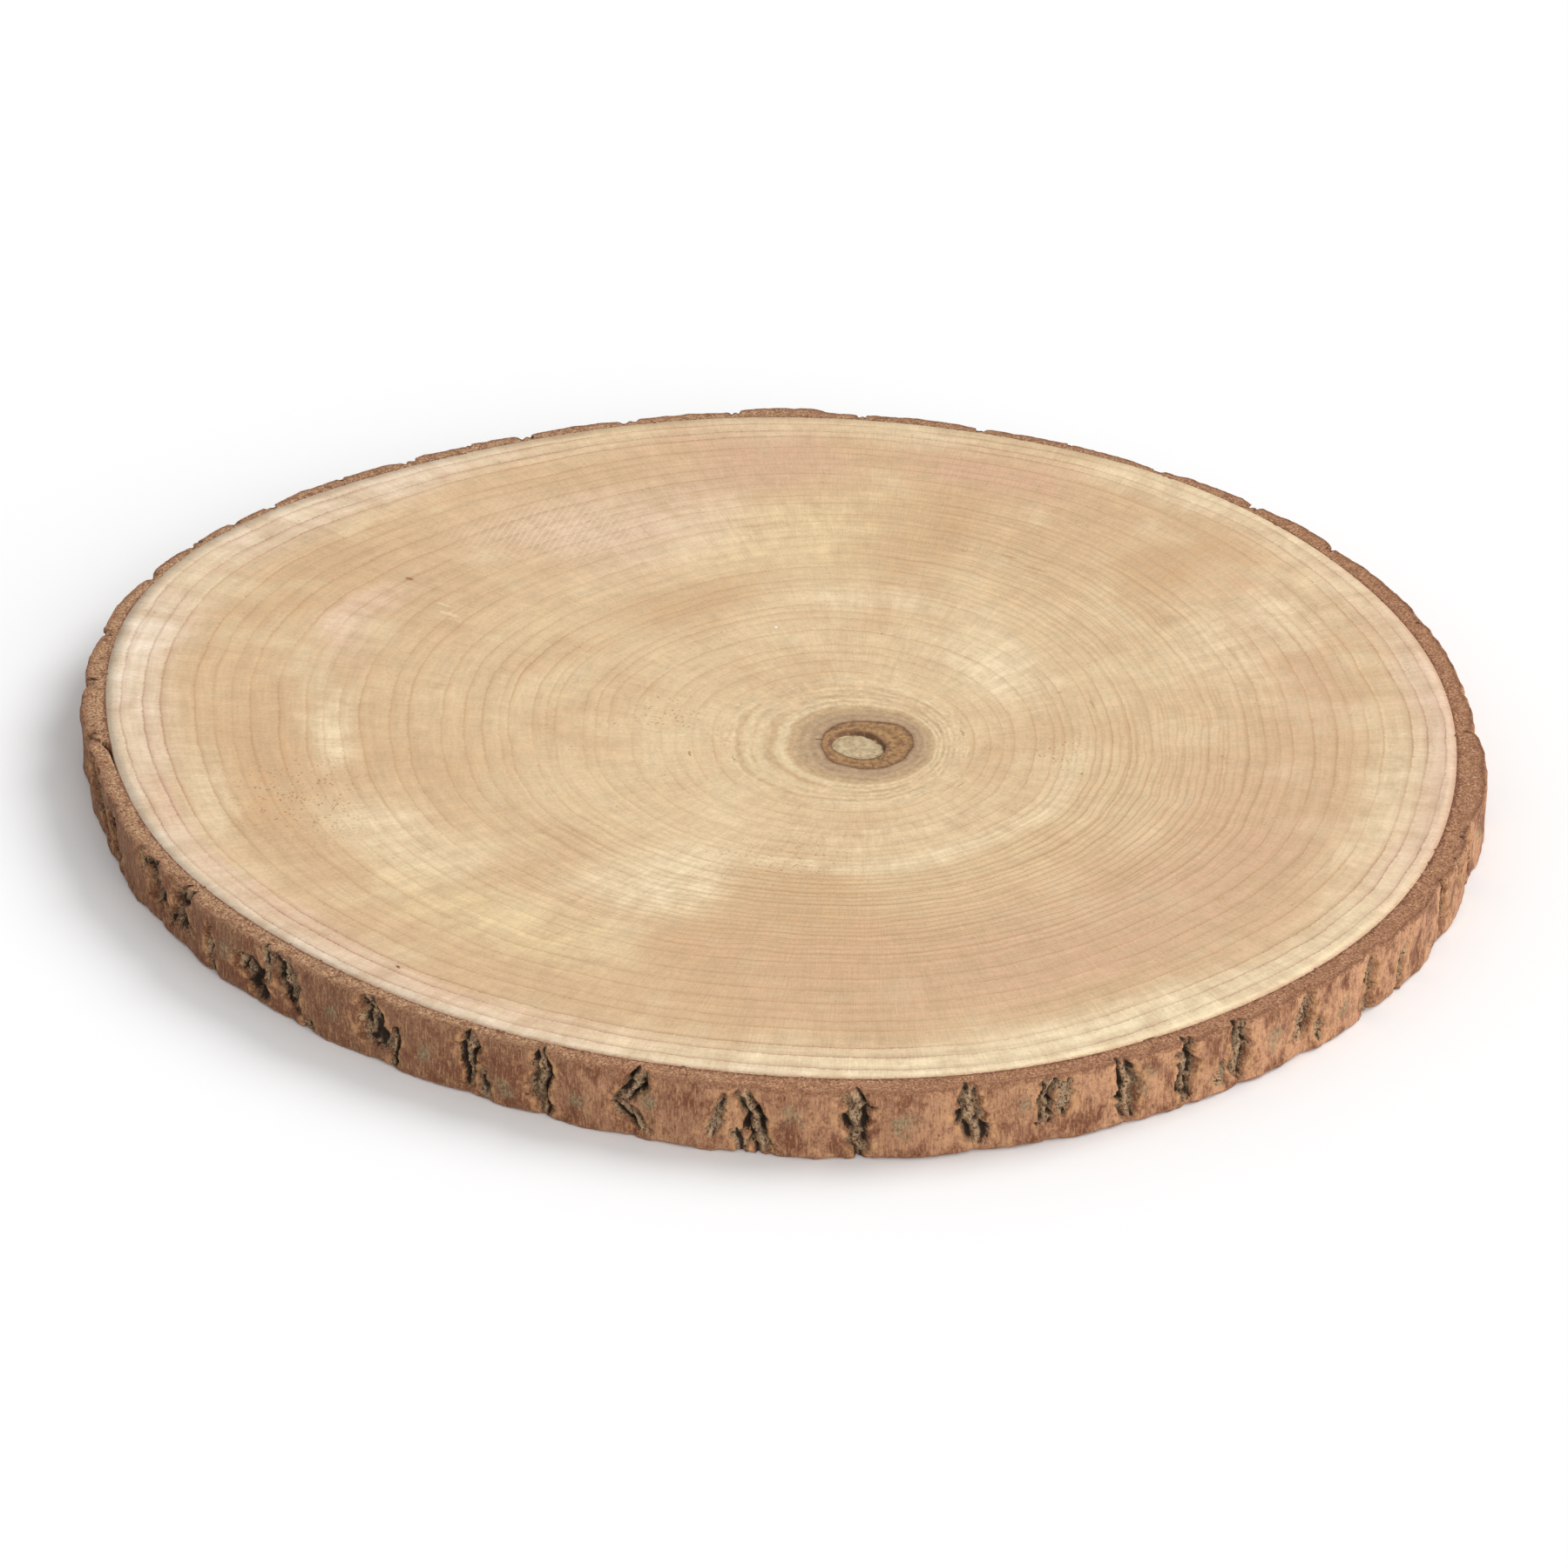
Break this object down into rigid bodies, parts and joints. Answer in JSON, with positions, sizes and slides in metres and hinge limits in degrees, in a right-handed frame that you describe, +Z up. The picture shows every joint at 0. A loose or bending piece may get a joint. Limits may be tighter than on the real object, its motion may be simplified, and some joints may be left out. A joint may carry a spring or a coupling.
{
  "type": "wood slice",
  "caption": "Thin round cross-cut slice of a tree trunk with flat sawn faces, an off-centre pith and a furrowed bark edge, used lying flat as a board, stand or table centre.",
  "frame": {"origin": "on the underside, below the middle of the outline's box", "axes": "+Z up through the thickness; +X to the right and +Y away, seen from the front, which is the side nearest to the pith"},
  "size_m": [0.404, 0.4028, 0.02],
  "materials": {
    "wood": "sawn and sanded, bare",
    "bark": "rough natural bark",
    "pith": "soft and matt"
  },
  "bodies": {
    "root": {"wood_slice": "wood"}
  },
  "joints": []
}
